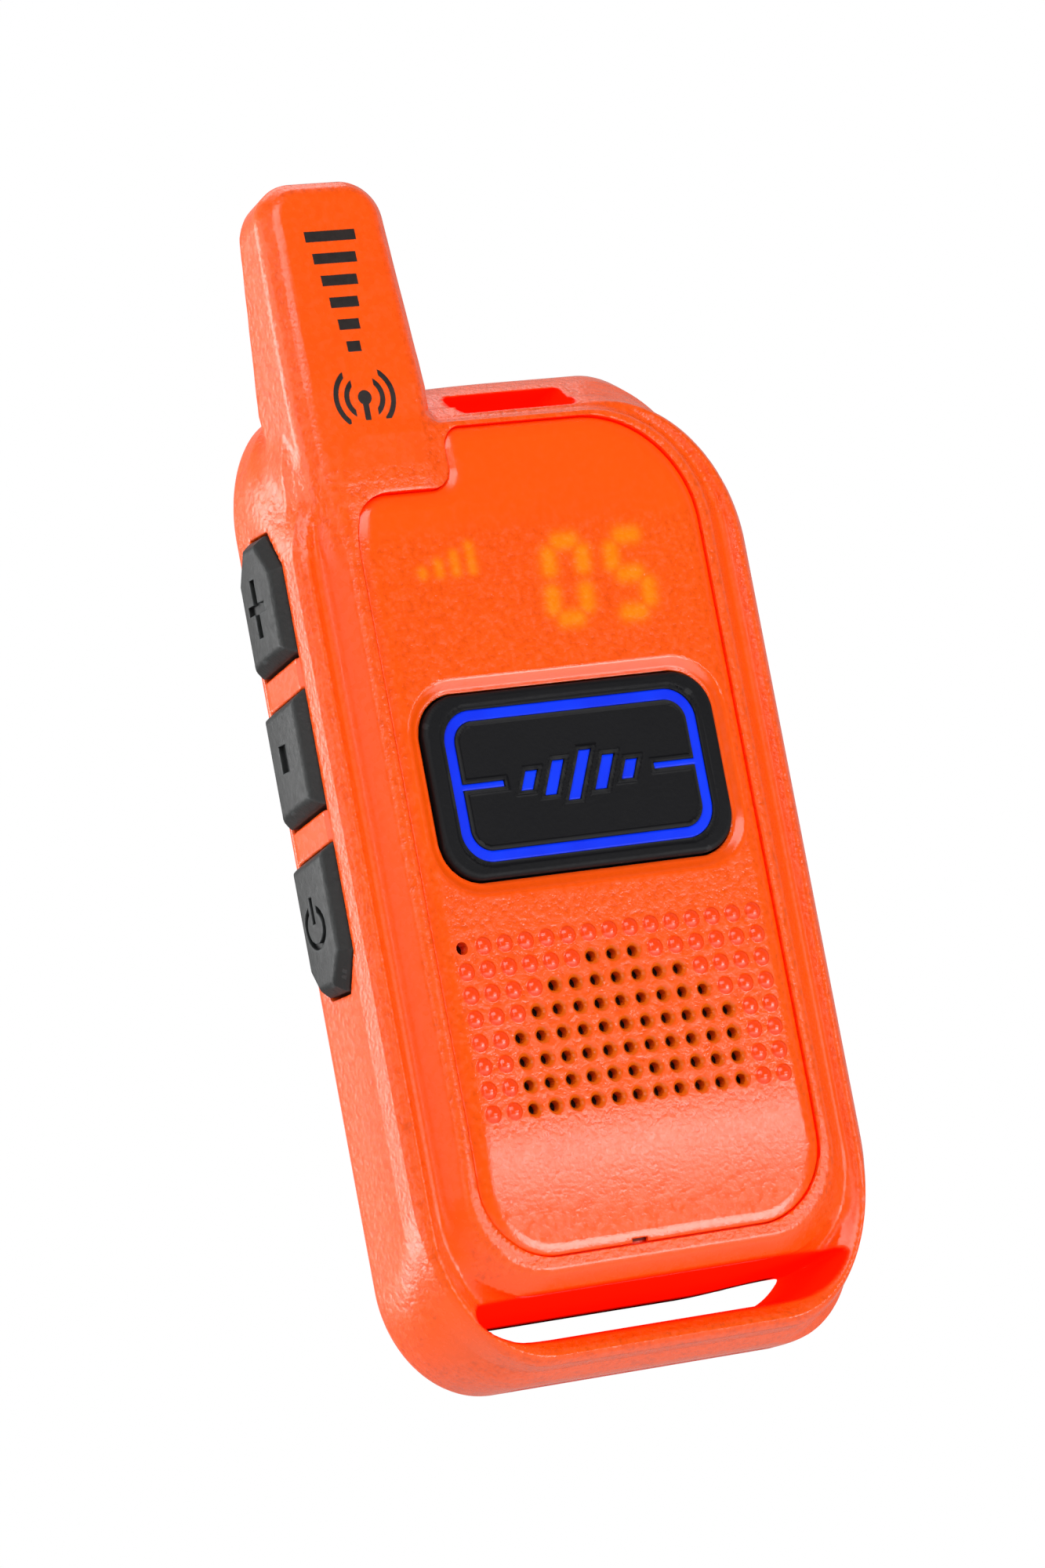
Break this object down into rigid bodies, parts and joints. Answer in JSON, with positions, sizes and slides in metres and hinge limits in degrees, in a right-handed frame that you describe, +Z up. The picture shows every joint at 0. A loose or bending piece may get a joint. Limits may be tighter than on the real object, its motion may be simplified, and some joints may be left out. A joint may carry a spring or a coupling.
{
  "type": "toy walkie talkie",
  "caption": "Pocket walkie talkie with a stub aerial, lit talk pad, side keys, dotted sound grille, lanyard slot, strap loop and sprung belt clip.",
  "frame": {"origin": "middle of the bottom face of the body, at mid depth", "axes": "+X to the right seen from the front, +Y from the front plate to the back cover, +Z up towards the aerial"},
  "size_m": [0.0537, 0.0221, 0.124],
  "materials": {
    "housing_orange": "moulded, fine spark-eroded grain",
    "plate_orange": "moulded, fine grain, slightly translucent",
    "cover_orange": "moulded, fine grain",
    "clip_orange": "moulded, fine grain",
    "pad_rubber": "matte silicone",
    "key_rubber": "matte silicone",
    "flap_rubber": "matte silicone",
    "inlay_blue": "translucent, lit from behind",
    "seal_rubber": "soft seal",
    "foam_black": "foam",
    "cloth_black": "woven dust cloth",
    "steel": "bright",
    "spring_steel": "drawn wire",
    "tin_plate": "tinned sheet",
    "socket_steel": "drawn shell",
    "board_green": "solder mask",
    "chip_black": "moulded package",
    "switch_black": "moulded",
    "plunger_ivory": "moulded",
    "lamp_white": "clear potting",
    "display_white": "white light box",
    "segment_amber": "translucent, lit",
    "lamp_amber": "clear potting",
    "basket_steel": "pressed basket",
    "magnet_steel": "plated pot",
    "cone_paper": "pressed film cone",
    "coil_copper": "enamelled copper",
    "aerial_copper": "enamelled copper wire",
    "former_white": "moulded former",
    "feed_gold": "gold-plated strip",
    "mic_can": "drawn can",
    "cell_wrap": "shrink wrap",
    "wire_red": "insulated wire",
    "lead_red": "insulated wire"
  },
  "bodies": {
    "case": {"housing": "housing_orange", "front_plate": "plate_orange", "plate_seal": "seal_rubber", "rear_cover": "cover_orange", "cover_seal": "seal_rubber", "case_screws": "steel", "main_board": "board_green", "board_screws": "steel", "rf_shield": "tin_plate", "board_chips": "chip_black", "display_housing": "display_white", "display_segments": "segment_amber", "display_lamps": "lamp_amber", "ptt_switch": "switch_black", "ptt_leds": "lamp_white", "side_board": "board_green", "side_switches": "switch_black", "speaker_frame": "basket_steel", "speaker_magnet": "magnet_steel", "speaker_gasket": "foam_black", "speaker_cloth": "cloth_black", "speaker_leads": "lead_red", "microphone": "mic_can", "microphone_boot": "seal_rubber", "aerial_former": "former_white", "aerial_coil": "aerial_copper", "aerial_feed": "feed_gold", "battery_pack": "cell_wrap", "battery_pad": "foam_black", "battery_leads": "wire_red", "usb_socket": "socket_steel", "clip_pin": "steel", "clip_spring": "spring_steel"},
    "talk_pad": {"ptt_pad": "pad_rubber", "ptt_light_guide": "inlay_blue"},
    "talk_plunger": {"ptt_plunger": "plunger_ivory"},
    "plus_key": {"key_plus": "key_rubber"},
    "minus_key": {"key_minus": "key_rubber"},
    "power_key": {"key_power": "key_rubber"},
    "plus_plunger": {"plunger_plus": "plunger_ivory"},
    "minus_plunger": {"plunger_minus": "plunger_ivory"},
    "power_plunger": {"plunger_power": "plunger_ivory"},
    "cone": {"speaker_cone": "cone_paper", "voice_coil": "coil_copper"},
    "clip": {"belt_clip": "clip_orange"},
    "port_flap": {"port_cover": "flap_rubber"}
  },
  "joints": [
    {"name": "talk_press", "type": "slide", "parent": "case", "child": "talk_pad", "axis": [0, 1, 0], "range_m": [0, 0.0009]},
    {"name": "talk_plunger_press", "type": "slide", "parent": "case", "child": "talk_plunger", "axis": [0, 1, 0], "range_m": [0, 0.0009]},
    {"name": "plus_press", "type": "slide", "parent": "case", "child": "plus_key", "axis": [1, 0, 0], "range_m": [0, 0.0007]},
    {"name": "plus_plunger_press", "type": "slide", "parent": "case", "child": "plus_plunger", "axis": [1, 0, 0], "range_m": [0, 0.0007]},
    {"name": "minus_press", "type": "slide", "parent": "case", "child": "minus_key", "axis": [1, 0, 0], "range_m": [0, 0.0007]},
    {"name": "minus_plunger_press", "type": "slide", "parent": "case", "child": "minus_plunger", "axis": [1, 0, 0], "range_m": [0, 0.0007]},
    {"name": "power_press", "type": "slide", "parent": "case", "child": "power_key", "axis": [1, 0, 0], "range_m": [0, 0.0007]},
    {"name": "power_plunger_press", "type": "slide", "parent": "case", "child": "power_plunger", "axis": [1, 0, 0], "range_m": [0, 0.0007]},
    {"name": "cone_stroke", "type": "slide", "parent": "case", "child": "cone", "axis": [0, 1, 0], "range_m": [-0.0003, 0.0003]},
    {"name": "clip_open", "type": "hinge", "parent": "case", "child": "clip", "pos_m": [0, 0.011, 0.0831], "axis": [1, 0, 0], "range_deg": [0, 16]},
    {"name": "port_flap_open", "type": "hinge", "parent": "case", "child": "port_flap", "pos_m": [0.0253, 0.0015, 0.05695], "axis": [0, 1, 0], "range_deg": [0, 100]}
  ],
  "couplings": [
    {"joint": "talk_plunger_press", "follows": "talk_press", "ratio": 1},
    {"joint": "plus_plunger_press", "follows": "plus_press", "ratio": 1},
    {"joint": "minus_plunger_press", "follows": "minus_press", "ratio": 1},
    {"joint": "power_plunger_press", "follows": "power_press", "ratio": 1}
  ]
}
